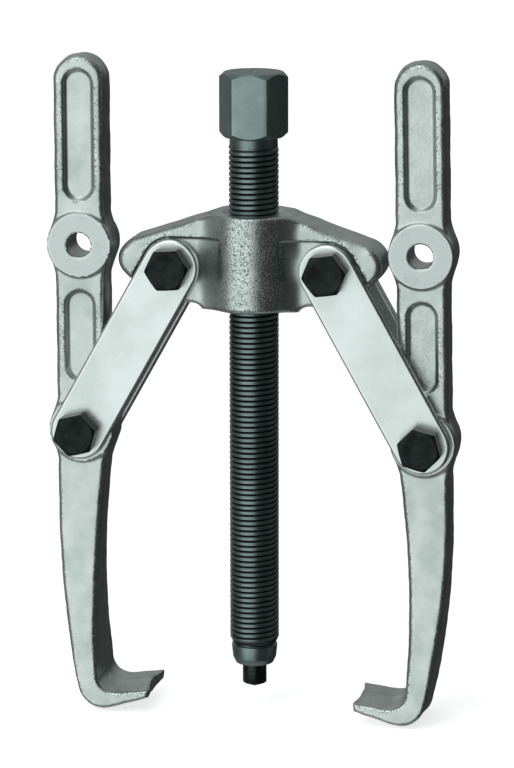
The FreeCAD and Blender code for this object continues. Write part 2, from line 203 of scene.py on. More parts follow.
def skinForm(form, low, high, step):
    # one vertex in each cell that the surface crosses, placed where the faces' planes meet
    axes = [np.arange(a - 2 * step, b + 2.5 * step, step) for a, b in zip(low, high)]
    origin = np.array([axis[0] for axis in axes])
    values = form(*np.meshgrid(*axes, indexing="ij", sparse=True))
    places, quads = [], []
    for axis in range(3):
        u, v = (axis + 1) % 3, (axis + 2) % 3
        head = np.moveaxis(values < 0, axis, 0)
        found = np.argwhere(head[:-1] != head[1:])
        starts = np.insert(found[:, 1:], axis, found[:, 0], axis=1)
        ends = starts.copy()
        ends[:, axis] += 1
        first, last = values[tuple(starts.T)], values[tuple(ends.T)]
        place = origin + starts * step
        place[:, axis] += step * first / (first - last)
        ring = []
        for du, dv in ((-1, -1), (0, -1), (0, 0), (-1, 0)):
            cell = starts.copy()
            cell[:, u] += du
            cell[:, v] += dv
            ring.append(np.ravel_multi_index(cell.T, values.shape))
        ring = np.stack(ring, axis=1)
        ring[first > 0] = ring[first > 0][:, ::-1]
        quads.append(ring)
        places.append(place)
    quads, places = np.concatenate(quads), np.concatenate(places)

    def slope(points):
        reach = 0.15 * step
        return np.stack([
            form(*(points + reach * unit).T) - form(*(points - reach * unit).T)
            for unit in np.eye(3)], axis=1) / (2 * reach)

    normals = slope(places)
    normals /= np.maximum(np.linalg.norm(normals, axis=1, keepdims=True), 1e-9)
    places, normals = np.repeat(places, 4, axis=0), np.repeat(normals, 4, axis=0)
    used, slots = np.unique(quads.ravel(), return_inverse=True)
    count = np.bincount(slots)

    def gather(weights):
        return np.bincount(slots, weights)

    middle = np.stack([gather(places[:, k]) / count for k in range(3)], axis=1)
    offset = np.einsum("ij,ij->i", normals, places - middle[slots])
    matrix = np.zeros((len(used), 3, 3))
    pull = np.zeros((len(used), 3))
    for i in range(3):
        pull[:, i] = gather(normals[:, i] * offset)
        for j in range(3):
            matrix[:, i, j] = gather(normals[:, i] * normals[:, j])
    matrix += np.eye(3) * 0.12
    shift = np.linalg.solve(matrix, pull[:, :, None])[:, :, 0]
    length = np.linalg.norm(shift, axis=1, keepdims=True)
    points = middle + shift * np.minimum(1, 0.8 * step / np.maximum(length, 1e-9))
    return points, slots.reshape(quads.shape)


def buildMesh(name, points, faces, place=Matrix.Identity(4), sharp=40):
    # points in millimetres become a mesh in metres, at its place
    mesh = bpy.data.meshes.new(name)
    places = [tuple(p) for p in np.asarray(points, float) * millimetre]
    mesh.from_pydata(places, [], [list(f) for f in faces])
    mesh.transform(place)
    mesh.validate()
    mesh.polygons.foreach_set("use_smooth", [True] * len(mesh.polygons))
    mesh.set_sharp_from_angle(angle=math.radians(sharp))
    piece = bpy.data.objects.new(name, mesh)
    bpy.context.scene.collection.objects.link(piece)
    return piece


def tagPoints(piece, name, values):
    attribute = piece.data.attributes.new(name, "FLOAT", "POINT")
    attribute.data.foreach_set("value", np.asarray(values, np.float32))


def faceOutwards(piece):
    work = bmesh.new()
    work.from_mesh(piece.data)
    bmesh.ops.remove_doubles(work, verts=work.verts, dist=1e-7)
    bmesh.ops.recalc_face_normals(work, faces=work.faces)
    work.to_mesh(piece.data)
    work.free()


def turnedForm(profile, segments=96):
    # a closed solid of revolution about Z from (radius, height) points, poles as single points
    points, rings = [], []
    for radius, height in profile:
        if radius < 1e-6:
            rings.append([len(points)] * segments)
            points.append((0, 0, height))
        else:
            rings.append(list(range(len(points), len(points) + segments)))
            for k in range(segments):
                angle = 2 * math.pi * k / segments
                points.append((radius * math.cos(angle), radius * math.sin(angle), height))
    faces = []
    for lower, upper in zip(rings, rings[1:]):
        for k in range(segments):
            n = (k + 1) % segments
            face = [lower[k], lower[n], upper[n], upper[k]]
            face = [p for i, p in enumerate(face) if p not in face[:i]]
            if len(face) > 2:
                faces.append(face)
    return points, faces


def joinForms(*forms):
    points, faces = [], []
    for formPoints, formFaces in forms:
        start = len(points)
        points += [tuple(p) for p in formPoints]
        faces += [[start + i for i in face] for face in formFaces]
    return points, faces


print("helpers ready")


mounts = {mount["name"]: mount for mount in frame["record"]["mounts"]}

armSizes = {
    "lean": {"left": 0.0, "right": 1.1},
    "floorGrain": {"left": 0.25, "right": 1.0},
    "holePitch": 53.0,
    "holeRadius": mounts["spare_hole_right"]["dims"]["r_mm"],
    "holeBevel": 0.2,
    "bossRadius": 9.2,
    "bossHalf": 6.0,
    "bossRim": 0.4,
    "barHalf": 5.0,
    "clawHalf": 11.0,
    "flareStart": -17.23,
    "flareRadius": 230.0,
    "flareBlend": 2.0,
    "panelHalf": 4.75,
    "panelDepth": 1.1,
    "panelWall": 1.5,
    "panels": ((13.5, 40.5), (65.0, 103.0)),
    "toe": -20.6,
    "notch": 1.5,
    "notchEdge": 0.4,
    "bossJoin": 2.6,
    "discJoin": 0.7,
    "draft": 0.06,
    "unevenness": 0.06,
    "edge": 1.55,
    "toeEdge": 0.95,
    "holeEdge": 0.25,
    "flash": 0.1,
    "step": 0.4,
}

# the arm seen from the front, outwards is +x: corners and their radii
armOutline = roundedPath([
    (-7.25, 106.3, 7.24), (7.25, 106.3, 7.24),
    (7.25, -46.0, 236.0),  # the leg's outer edge bows in
    (-0.9, -83.2, 8.0),  # heel
    (-20.3, -77.0, 0.5), (-20.6, -73.8, 0.3),  # toe
    (-5.8, -75.8, 4.5),  # palm
    (-3.6, -43.0, 300.0), (-7.25, -6.0, 60.0),
])


def ripple(a, b, c):
    # the slow unevenness of a forging, about one either way
    return (np.sin(0.71 * a + 0.31 * b + 1.3) * np.sin(0.43 * c - 0.23 * a)
            + 0.6 * np.sin(1.37 * c + 0.53 * b) * np.sin(1.13 * a - 0.37 * c + 2.1))


def panelShare(u, v):
    # one on a panel's floor, nought outside it
    size, share = armSizes, 0
    for low, high in size["panels"]:
        width = size["panelHalf"]
        slot = np.hypot(u, v - np.clip(v, low + width, high - width)) - width
        share = share + ease(-slot / size["panelWall"])
    return share


def armForm():
    size = armSizes

    def form(u, y, v):
        past = size["flareStart"] - v
        half = size["barHalf"] + np.maximum(past, 0) ** 2 / (2 * size["flareRadius"])
        blend = np.maximum(size["flareBlend"] - np.abs(half - size["clawHalf"]), 0) / size["flareBlend"]
        half = np.minimum(half, size["clawHalf"]) - blend ** 2 * size["flareBlend"] / 4
        half = half - panelShare(u, v) * size["panelDepth"]
        outline = outlineDistance(armOutline, u, v)
        bosses = [np.hypot(u, v - height) - size["bossRadius"] for height in (0, size["holePitch"])]
        for boss in bosses:
            outline = joinRound(outline, boss, size["bossJoin"])
        outline = outline + size["draft"] * (np.abs(y) - size["barHalf"] / 2)
        outline = outline - size["flash"] * np.exp(-(y / 0.5) ** 2) + size["unevenness"] * ripple(u, y, v)
        edge = size["edge"] - (size["edge"] - size["toeEdge"]) * ease((-60 - v) / 12)
        body = meetRound(outline, np.abs(y) - half, edge)
        for boss in bosses:
            disc = meetRound(boss, np.abs(y) - size["bossHalf"], size["bossRim"])
            body = joinRound(body, disc, size["discJoin"])
        hollow = (size["clawHalf"] ** 2 + size["notch"] ** 2) / (2 * size["notch"])
        notch = np.hypot(u - (size["toe"] + size["notch"] - hollow), y) - hollow
        body = meetRound(body, -notch, size["notchEdge"])
        for boss in bosses:
            wall = boss + size["bossRadius"] - size["holeRadius"]
            bevel = (wall + size["bossHalf"] - np.abs(y) - size["holeBevel"]) * math.sqrt(0.5)
            body = meetRound(body, -np.minimum(wall, bevel), size["holeEdge"])
        return body

    return form


def makeArm(side):
    size = armSizes
    points, faces = skinForm(armForm(), (-21.5, -11.5, -83.5), (9.8, 11.5, 107.0), size["step"])
    sign = sides[side]
    place = Matrix.Translation(jointPoint(side + "_arm_swing"))
    place @= Matrix.Rotation(math.radians(-sign * size["lean"][side]), 4, "Y")
    if sign < 0:
        place @= Matrix.Rotation(math.pi, 4, "Z")
    piece = buildMesh("arm_" + side + "_forging", points, faces, place, sharp=50)
    u, y, v = points.T
    radius = np.minimum(np.hypot(u, v), np.hypot(u, v - size["holePitch"]))
    tagPoints(piece, "turned", radius)
    tagPoints(piece, "panel", panelShare(u, v) * (np.abs(y) > 3.2) * size["floorGrain"][side])
    tagPoints(piece, "machined", (np.abs(y) > size["bossHalf"] - 0.25) & (radius < size["bossRadius"] - 0.15)
              & (radius > size["holeRadius"]))
    tagPoints(piece, "edge", edgeShare(piece, 1.6))
    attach(piece, side + "_arm")
    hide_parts("arm_" + side)
    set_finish(piece, "forged_zinc")
    return piece


def edgeShare(piece, reach):
    # how strongly the surface bends outwards near a point, spread over a few neighbours
    mesh = piece.data
    count = len(mesh.vertices)
    place = np.empty(count * 3)
    mesh.vertices.foreach_get("co", place)
    normal = np.empty(count * 3)
    mesh.vertices.foreach_get("normal", normal)
    place, normal = place.reshape(-1, 3) / millimetre, normal.reshape(-1, 3)
    pairs = np.empty(len(mesh.edges) * 2, int)
    mesh.edges.foreach_get("vertices", pairs)
    a, b = pairs.reshape(-1, 2).T
    gap = place[b] - place[a]
    bend = np.einsum("ij,ij->i", normal[b] - normal[a], gap) / np.maximum((gap ** 2).sum(1), 1e-9)
    links = np.bincount(a, minlength=count) + np.bincount(b, minlength=count)
    share = (np.bincount(a, bend, count) + np.bincount(b, bend, count)) / links
    share = np.clip(share * reach, -1, 1)
    for _ in range(3):
        around = (np.bincount(a, share[b], count) + np.bincount(b, share[a], count)) / links
        share = around * 0.6 + share * 0.4
    return share


crossheadSizes = {
    "bossRadius": 12.8,
    "bossTop": 15.3,
    "bossBottom": -11.0,
    "boreRadius": 7.0,
    "topBevel": 1.7,
    "lowBevel": 0.9,
    "wingHalf": 7.3,
    "seatHalf": 6.0,
    "seatWall": 0.7,
    "fillet": 3.6,
    "skirtJoin": 4.0,
    "tipRelief": 0.45,
    "faceUnevenness": 0.05,
    "outlineUnevenness": 0.07,
    "boreEdge": 0.25,
    "wingEdge": 2.3,
    "bossEdge": 1.2,
    "holeRadius": 3.5,
    "step": 0.36,
}

pivotX = jointPoint("right_link_swing").x / millimetre
strapRun = jointPoint("right_arm_swing") - jointPoint("right_link_swing")
strapPitch = strapRun.length / millimetre
strapTilt = math.atan2(strapRun.x, -strapRun.z)

# the yoke seen from the front, heights from the pivots' axis
yokeOutline = roundedPath([
    (-10.2, 15.3, 5.0), (-45.04, 3.81, 6.0), (-25.48, -10.3, 10.3),
    (25.48, -10.3, 10.3), (45.04, 3.81, 6.0), (10.2, 15.3, 5.0),
])
seatEdge = 8.8
seatFoot = -30.0  # below the wing
seatOutline = roundedPath([
    (0, seatEdge, 0),
    (pivotX + seatEdge * math.tan((math.pi / 2 - strapTilt) / 2), seatEdge, seatEdge),
    (pivotX + (seatEdge - seatFoot * math.sin(strapTilt)) / math.cos(strapTilt), seatFoot, 0),
    (0, seatFoot, 0),
])


def crossheadForm(x, y, w):
    size = crossheadSizes
    across = np.abs(x)
    seat = outlineDistance(seatOutline, across, w)
    half = size["wingHalf"] - (size["wingHalf"] - size["seatHalf"]) * ease(-seat / size["seatWall"])
    half = half + size["faceUnevenness"] * ripple(x, 0, w) * ease((seat + 0.2) / 0.8)
    reach = np.hypot(x, y)
    plan = joinRound(np.abs(y) - half, reach - size["bossRadius"], size["fillet"])
    skirt = np.maximum(across - size["bossRadius"], np.maximum(w - 8, size["bossBottom"] - w))
    front = joinRound(outlineDistance(yokeOutline, x, w), skirt, size["skirtJoin"])
    front = front + size["outlineUnevenness"] * ripple(0.6 * x, y, 0.6 * w)
    front = front + size["tipRelief"] * ease((across - 33) / 3)  # clear of the arms' bosses
    edge = size["bossEdge"] + (size["wingEdge"] - size["bossEdge"]) * ease((across - 15) / 9)
    edge = edge + 0.8 * ease((-w - 4) / 3) * ease((13 - across) / 3)
    body = meetRound(plan, front, edge)
    bore = reach - size["boreRadius"]
    ends = ((size["topBevel"], size["bossTop"] - w), (size["lowBevel"], w - size["bossBottom"]))
    for bevel, depth in ends:
        bore = np.minimum(bore, (reach - size["boreRadius"] + depth - bevel) * math.sqrt(0.5))
    body = meetRound(body, -bore, size["boreEdge"])
    return np.maximum(body, size["holeRadius"] - np.hypot(across - pivotX, w))


def makeCrosshead():
    size = crossheadSizes
    points, faces = skinForm(crossheadForm, (-39.0, -13.5, -12.0), (39.0, 13.5, 16.5), size["step"])
    place = Matrix.Translation((0, 0, jointPoint("right_link_swing").z))
    piece = buildMesh("crosshead_forging", points, faces, place, sharp=50)
    tagPoints(piece, "turned", np.hypot(points[:, 0], points[:, 1]))
    tagPoints(piece, "machined", np.zeros(len(points)))
    tagPoints(piece, "panel", np.zeros(len(points)))
    reach = np.hypot(points[:, 0], points[:, 1])
    boss = 0.6 * ease((size["bossRadius"] + 0.9 - reach) / 1.1) * ease((reach - size["boreRadius"] - 4) / 1.5)
    tagPoints(piece, "edge", np.maximum(edgeShare(piece, 1.6), boss))
    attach(piece, "crosshead")
    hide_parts("crosshead")
    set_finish(piece, "forged_zinc")
    return piece


strapSizes = {
    "halfWidth": 8.0,
    "thickness": 3.0,
    "bevel": 0.8,
    "holeRadius": 3.5,
    "facets": 40,
}


def stadium(inset, y, size):
    # a ring of points: half circles round both holes, drawn in by the inset
    ring = []
    for centre, start in ((0, 0), (-strapPitch, math.pi)):
        for k in range(size["facets"] + 1):
            angle = start + math.pi * k / size["facets"]
            radius = size["halfWidth"] - inset
            ring.append((radius * math.cos(angle), y, centre + radius * math.sin(angle)))
    return ring


def makeStrap(side, row):
    size = strapSizes
    work = bmesh.new()
    half, bevel = size["thickness"] / 2, size["bevel"]
    rim = [(bevel + 0.3, half)]
    for k in range(5):
        angle = math.pi / 2 * k / 4
        rim.append((bevel * (1 - math.sin(angle)), half - bevel * (1 - math.cos(angle))))
    rim += [(inset, -y) for inset, y in reversed(rim)]
    rings = [[work.verts.new(p) for p in stadium(inset, -y, size)] for inset, y in rim]
    count = len(rings[0])
    for upper, lower in zip(rings, rings[1:]):
        for k in range(count):
            work.faces.new((upper[k], upper[(k + 1) % count], lower[(k + 1) % count], lower[k]))
    holes = []
    for y in (-half, half):
        for centre in (0, -strapPitch):
            circle = []
            for k in range(32):
                angle = 2 * math.pi * k / 32
                circle.append(work.verts.new((
                    size["holeRadius"] * math.cos(angle), y, centre + size["holeRadius"] * math.sin(angle))))
            holes.append(circle)
    for first, second in ((0, 2), (1, 3)):
        for k in range(32):
            work.faces.new((holes[first][k], holes[second][k], holes[second][(k + 1) % 32],
                            holes[first][(k + 1) % 32]))
    for edgeRing, circles in ((rings[0], holes[:2]), (rings[-1], holes[2:])):
        edges = []
        for ring in [edgeRing] + circles:
            for k in range(len(ring)):
                a, b = ring[k], ring[(k + 1) % len(ring)]
                edges.append(work.edges.get((a, b)) or work.edges.new((a, b)))
        bmesh.ops.triangle_fill(work, use_beauty=True, edges=edges)
    bmesh.ops.recalc_face_normals(work, faces=work.faces)
    mesh = bpy.data.meshes.new("strap")
    work.to_mesh(mesh)
    work.free()
    sign = sides[side]
    low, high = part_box("strap_" + side + "_" + row)
    points = [tuple(v.co) for v in mesh.vertices]
    faces = [list(f.vertices) for f in mesh.polygons]
    place = Matrix.Translation((jointPoint(side + "_link_swing").x, (low.y + high.y) / 2,
                                jointPoint(side + "_link_swing").z))
    place @= Matrix.Rotation(-sign * strapTilt, 4, "Y")
    piece = buildMesh("strap_" + side + "_" + row + "_plate", points, faces, place, sharp=50)
    across = np.array([abs(p[0]) for p in points])
    below = np.array([min(max(-p[2], 0), strapPitch) for p in points])
    out = np.hypot(across, np.array([p[2] for p in points]) + below)
    # the bevel's mask, along which the strap material paints a highlight
    tagPoints(piece, "edge", np.clip((out - size["halfWidth"] + size["bevel"] + 0.3) / 0.5, 0, 1))
    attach(piece, side + "_link")
    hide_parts("strap_" + side + "_" + row)
    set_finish(piece, "strap_zinc")
    return piece


def makeThreadTree():
    # a grid wound into a closed helical thread along Z, its ends bevelled and capped
    tree = bpy.data.node_groups.new("screwThread", "GeometryNodeTree")
    tree.interface.new_socket("Geometry", in_out="OUTPUT", socket_type="NodeSocketGeometry")
    for name, start in (("Crest Radius", 0.007), ("Root Radius", 0.006), ("Pitch", 0.0015),
                        ("Start", 0.0), ("End", 0.1), ("Bevel", 0.0008), ("Neck Radius", 0.0066)):
        tree.interface.new_socket(name, in_out="INPUT", socket_type="NodeSocketFloat").default_value = start
    for name, start in (("Columns", 64), ("Rows", 800)):
        tree.interface.new_socket(name, in_out="INPUT", socket_type="NodeSocketInt").default_value = start
    tree.interface.new_socket("Material", in_out="INPUT", socket_type="NodeSocketMaterial")
    bench = Bench(tree)
    given = tree.nodes.new("NodeGroupInput")
    result = tree.nodes.new("NodeGroupOutput")
    term = {socket.name: Value(tree, socket) for socket in given.outputs if socket.name}
    grid = tree.nodes.new("GeometryNodeMeshGrid")
    feed(tree, grid.inputs["Vertices X"], term["Columns"] + 1.0)
    feed(tree, grid.inputs["Vertices Y"], term["Rows"] + 1.0)
    place = tree.nodes.new("ShaderNodeSeparateXYZ")
    feed(tree, place.inputs[0], tree.nodes.new("GeometryNodeInputPosition").outputs[0])
    turn = Value(tree, place.outputs[0]) + 0.5
    rise = Value(tree, place.outputs[1]) + 0.5
    pitch, start, end = term["Pitch"], term["Start"], term["End"]
    climb = rise * (end - start + 2.0 * pitch) - pitch
    height = climb + turn * pitch
    length = end - start
    phase = (climb / pitch + 50.0).apply("FRACT")
    wave = (phase * 2.0 - 1.0).apply("ABSOLUTE")
    ridge = ((0.98 - wave) / 0.36).clamp()
    ridge = ridge * ridge * (3.0 - 2.0 * ridge)
    crest, root = term["Crest Radius"], term["Root Radius"]
    radius = root + (crest - root) * ridge
    inner = height.math("MINIMUM", height, length - height)
    radius = radius.math("MAXIMUM", radius, term["Neck Radius"] - (length - height) * 0.3)
    radius = radius.math("MINIMUM", radius, crest - term["Bevel"] + height * 0.5)
    inside = inner.math("GREATER_THAN", inner, -0.00001)
    radius = radius * inside
    kept = height.math("MINIMUM", height.math("MAXIMUM", height, 0.0), length) + start
    angle = turn * (2 * math.pi)
    wound = bench.add("ShaderNodeCombineXYZ", {}, {
        "X": radius * angle.apply("COSINE"), "Y": radius * angle.apply("SINE"), "Z": kept})
    moved = tree.nodes.new("GeometryNodeSetPosition")
    bench.join(grid.outputs["Mesh"], moved.inputs["Geometry"])
    feed(tree, moved.inputs["Position"], wound)
    merged = tree.nodes.new("GeometryNodeMergeByDistance")
    bench.join(moved.outputs[0], merged.inputs["Geometry"])
    merged.inputs["Distance"].default_value = 0.000002
    real = tree.nodes.new("GeometryNodeRealizeInstances")
    bench.join(merged.outputs[0], real.inputs[0])
    paint = tree.nodes.new("GeometryNodeSetMaterial")
    bench.join(real.outputs[0], paint.inputs["Geometry"])
    feed(tree, paint.inputs["Material"], term["Material"])
    bench.join(paint.outputs[0], result.inputs[0])
    return tree


def growMesh(tree, settings):
    # run a tree on an empty mesh and keep the plain result, in millimetres
    host = bpy.data.objects.new("grower", bpy.data.meshes.new("grower"))
    bpy.context.scene.collection.objects.link(host)
    modifier = host.modifiers.new("grow", "NODES")
    modifier.node_group = tree
    for item in tree.interface.items_tree:
        if item.item_type == "SOCKET" and item.in_out == "INPUT" and item.name in settings:
            modifier[item.identifier] = settings[item.name]
    graph = bpy.context.evaluated_depsgraph_get()
    grown = bpy.data.meshes.new_from_object(host.evaluated_get(graph), depsgraph=graph)
    host.modifiers.remove(modifier)
    bpy.data.objects.remove(host)
    points = [tuple(v.co / millimetre) for v in grown.vertices]
    faces = [list(f.vertices) for f in grown.polygons]
    return points, faces


def hexForm(flats, low, high, drop, turn=0.0, bothEnds=False, dish=0.0, drill=0.0):
    # a hexagon whose corners are turned off, 16 columns to a side; a dish or a drilled centre sinks its top
    columns = 96
    corner = flats / 2 / math.cos(math.pi / 6)
    flat = flats / 2 - 0.25

    def reach(k):
        share = (k * 2 * math.pi / columns) % (math.pi / 3) - math.pi / 6
        return min(flats / 2 / math.cos(share), corner * 0.988)

    def circle(radius, height):
        return lambda k: (radius, height)

    def rim(height, sign):
        return lambda k: (reach(k), height - sign * max(0, reach(k) - flat) * drop)

    rows = [circle(flat - 0.3, low), circle(flat, low)]
    rows += [rim(low, -1)] if bothEnds else [lambda k: (reach(k), low)]
    rows += [rim(high, 1), circle(flat, high), circle(flat - 0.3, high)]
    if dish:
        rows += [circle(flat * 0.8, high), circle(flat * 0.8 - 0.4, high - dish)]
    if drill:
        rows += [circle(drill, high), circle(drill - 0.3, high - 0.3), circle(0.3, high - drill)]
    points, faces = [], []
    for row in rows:
        for k in range(columns):
            radius, height = row(k)
            angle = k * 2 * math.pi / columns + turn
            points.append((radius * math.cos(angle), radius * math.sin(angle), height))
    for r in range(len(rows) - 1):
        for k in range(columns):
            n = (k + 1) % columns
            faces.append([r * columns + k, r * columns + n, (r + 1) * columns + n, (r + 1) * columns + k])
    last = (len(rows) - 1) * columns
    faces.append(list(range(columns))[::-1])
    faces.append([last + k for k in range(columns)])
    return points, faces


spindleSizes = {
    "crest": 6.95,
    "root": 6.12,
    "pitch": 1.5,
    "threadFrom": 11.8,
    "headSeat": 157.3,
    "neck": 2.6,
    "neckRadius": 6.75,
    "hexFlats": 17.0,
    "hexHeight": 18.0,
    "hexTurn": 3.0,
    "startBevel": 0.9,
    "crestTone": 0.8,
    "columns": 64,
    "rowsPerTurn": 8,
}


def makeSpindle():
    size = spindleSizes
    threadTo = size["headSeat"] - size["neck"]
    turns = (threadTo - size["threadFrom"]) / size["pitch"]
    rows = round((turns + 2) * size["rowsPerTurn"])
    # whole rows keep the seam closed: the thread's length follows from them
    threadFrom = threadTo - (rows / size["rowsPerTurn"] - 2) * size["pitch"]
    thread = growMesh(threadTree, {
        "Crest Radius": size["crest"] * millimetre, "Root Radius": size["root"] * millimetre,
        "Pitch": size["pitch"] * millimetre, "Start": threadFrom * millimetre,
        "End": threadTo * millimetre, "Bevel": size["startBevel"] * millimetre,
        "Neck Radius": size["neckRadius"] * millimetre, "Material": materials["phosphate_steel"],
        "Columns": size["columns"], "Rows": rows})
    nose = turnedForm([
        (0, 14.5), (5.6, 14.5), (5.9, threadFrom - 0.1), (6.45, threadFrom - 0.4), (6.5, threadFrom - 0.9),
        (6.18, 7.9), (6.12, 7.6), (5.95, 7.3), (5.42, 6.15), (5.3, 6.02), (5.1, 6.0), (3.5, 6.0), (3.45, 6.1),
        (3.45, 7.0), (0, 7.0)][::-1])
    neck = turnedForm([
        (0, threadTo - 2.5), (5.8, threadTo - 2.5), (5.9, threadTo - 0.2),
        (size["neckRadius"], threadTo - 0.1), (size["neckRadius"] - 0.05, size["headSeat"] - 0.6),
        (size["neckRadius"] + 0.05, size["headSeat"] - 0.2), (7.1, size["headSeat"] + 0.1),
        (0, size["headSeat"] + 0.1)])
    head = hexForm(size["hexFlats"], size["headSeat"], size["headSeat"] + size["hexHeight"], 0.95,
                   math.radians(size["hexTurn"]), bothEnds=True, drill=1.2)
    points, faces = joinForms(thread, nose, neck, head)
    piece = buildMesh("spindle_screw", points, faces, sharp=32)
    faceOutwards(piece)
    piece.data.set_sharp_from_angle(angle=math.radians(32))
    radius = np.array([math.hypot(v.co.x, v.co.y) for v in piece.data.vertices]) / millimetre
    height = np.array([v.co.z for v in piece.data.vertices]) / millimetre
    onThread = (height < threadTo + 0.01) & (height > threadFrom - 0.01)
    share = ease((radius - size["root"]) / (size["crest"] - size["root"]))
    # the grooves get nought here, and the phosphate material paints them dark as painted shade
    tagPoints(piece, "crest", np.where(onThread, share * size["crestTone"], 1.0))
    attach(piece, "spindle")
    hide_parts("spindle")
    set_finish(piece, "phosphate_steel")
    return piece


def makeTipPin():
    piece = buildMesh("tip_pin_rod", *turnedForm([
        (0, -1.3), (0.35, -1.27), (0.7, -1.12), (3.1, -0.16), (3.3, -0.03), (3.4, 0.12), (3.4, 5.7),
        (3.3, 5.9), (3.1, 5.95), (2.7, 5.95), (2.7, 13.9), (0, 13.9)], 64), sharp=35)
    tagPoints(piece, "crest", [1.0 if v.co.z < -0.0001 else 0.0 for v in piece.data.vertices])
    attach(piece, "tip")
    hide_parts("tip_pin")
    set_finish(piece, "hardened_pin")
    return piece


boltSizes = {
    "shank": 3.46,
    "root": 3.05,
    "pitch": 1.0,
    "flats": 11.0,
    "head": 4.8,
    "reach": 24.65,
    "threaded": 9.0,
    "nut": 5.2,
    "collar": 6.5,
    "collarRadius": 4.6,
    "turns": {"upper_left": 4, "lower_left": 14, "upper_right": 8, "lower_right": 45},
}


def makeHingeBolt(level, side):
    size = boltSizes
    name = level + "_" + side
    joint = jointPoint(side + ("_link_swing" if level == "upper" else "_arm_swing"))
    face = -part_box("strap_" + side + "_front")[0].y
    turn = math.radians(size["turns"][name])
    front = Matrix.Translation((joint.x, -face, joint.z)) @ Matrix.Rotation(math.pi / 2, 4, "X")
    back = Matrix.Translation((joint.x, face, joint.z)) @ Matrix.Rotation(-math.pi / 2, 4, "X")

    head = hexForm(size["flats"], 0.0, size["head"], 0.58, turn, dish=0.12)
    plain = -size["reach"] + size["threaded"]
    shank = turnedForm([(0, plain - 1.0), (size["root"] - 0.1, plain - 1.0), (size["root"], plain - 0.3),
                        (size["shank"], plain + 0.3), (size["shank"], 0.2), (0, 0.2)], 64)
    thread = growMesh(threadTree, {
        "Crest Radius": size["shank"] * millimetre, "Root Radius": size["root"] * millimetre,
        "Pitch": size["pitch"] * millimetre, "Start": -size["reach"] * millimetre,
        "End": plain * millimetre, "Bevel": 0.6 * millimetre,
        "Neck Radius": size["shank"] * millimetre, "Material": materials["black_oxide"],
        "Columns": 48, "Rows": round((size["threaded"] / size["pitch"] + 2) * 8)})
    points, faces = joinForms(head, shank, thread)
    bolt = buildMesh("bolt_" + name + "_screw", points, faces, front, sharp=32)

    nutForm = hexForm(size["flats"], 0.0, size["nut"], 0.58, turn)
    ring = size["collarRadius"]
    collar = turnedForm([
        (ring, size["nut"] - 0.5), (ring, size["collar"] - 0.45), (ring - 0.12, size["collar"] - 0.15),
        (ring - 0.35, size["collar"]), (ring - 0.6, size["collar"]), (ring - 0.6, size["nut"] - 0.5),
        (ring, size["nut"] - 0.5)], 64)
    nut = buildMesh("nut_" + name + "_hexagon", *joinForms(nutForm, collar), back, sharp=32)
    inner, outer = size["shank"] - 0.05, ring - 0.62
    top = size["collar"] - 0.25
    nylon = buildMesh("lock_ring_" + name + "_nylon", *turnedForm([
        (inner, size["nut"] - 0.3), (inner, top - 0.15), (inner + 0.08, top), (outer - 0.08, top),
        (outer, top - 0.1), (outer, size["nut"] - 0.3), (inner, size["nut"] - 0.3)], 64), back, sharp=40)
    for piece, node, slot in ((bolt, "bolt_", "black_oxide"), (nut, "nut_", "black_oxide"),
                              (nylon, "lock_ring_", "nylon")):
        faceOutwards(piece)
        piece.data.set_sharp_from_angle(angle=math.radians(32))
        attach(piece, side + "_link")
        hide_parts(node + name)
        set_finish(piece, slot)
    return bolt, nut, nylon


def tone(code):
    # a screen colour such as "c5ccca" as linear light
    parts = [int(code[i:i + 2], 16) / 255 for i in (0, 2, 4)]
    return tuple(c / 12.92 if c < 0.04045 else ((c + 0.055) / 1.055) ** 2.4 for c in parts) + (1.0,)


class Finish(Bench):
    # a material's tree with its shader ready, and places in millimetres
    def __init__(self, name, constants):
        self.material = bpy.data.materials.new(name)
        self.material.use_nodes = True
        super().__init__(self.material.node_tree)
        self.tree.nodes.clear()
        self.shader = self.tree.nodes.new("ShaderNodeBsdfPrincipled")
        output = self.tree.nodes.new("ShaderNodeOutputMaterial")
        self.join(self.shader.outputs[0], output.inputs[0])
        for socket, setting in constants.items():
            self.shader.inputs[socket].default_value = setting
        self.place = self.scaled(self.add("ShaderNodeTexCoord", out="Object"), 1 / millimetre)

    def scaled(self, place, factor):
        return self.add("ShaderNodeVectorMath", {"operation": "SCALE"}, {0: place, "Scale": factor})

    def stretched(self, factors):
        return self.add("ShaderNodeVectorMath", {"operation": "MULTIPLY"}, {0: self.place, 1: factors})

    def tag(self, name):
        return self.add("ShaderNodeAttribute", {"attribute_name": name}, out="Fac")

    def corner(self, radius):
        # one at an outer edge or corner, nought on the flats
        rounded = self.add("ShaderNodeBevel", {"samples": 4}, {"Radius": radius * millimetre})
        plain = self.add("ShaderNodeNewGeometry", out="Normal")
        match = self.add(
            "ShaderNodeVectorMath", {"operation": "DOT_PRODUCT"}, {0: rounded, 1: plain}, out="Value")
        return self.between(match, 0.99, 0.82)

    def bumped(self, height, depth):
        # depth in millimetres for a height of one
        return self.add("ShaderNodeBump", {}, {
            "Strength": 1.0, "Distance": depth * millimetre, "Height": height})

    def paint(self, **terms):
        for name, term in terms.items():
            feed(self.tree, self.shader.inputs[{"colour": "Base Color", "rough": "Roughness",
                                                "metal": "Metallic", "normal": "Normal"}[name]], term)
        return self.material


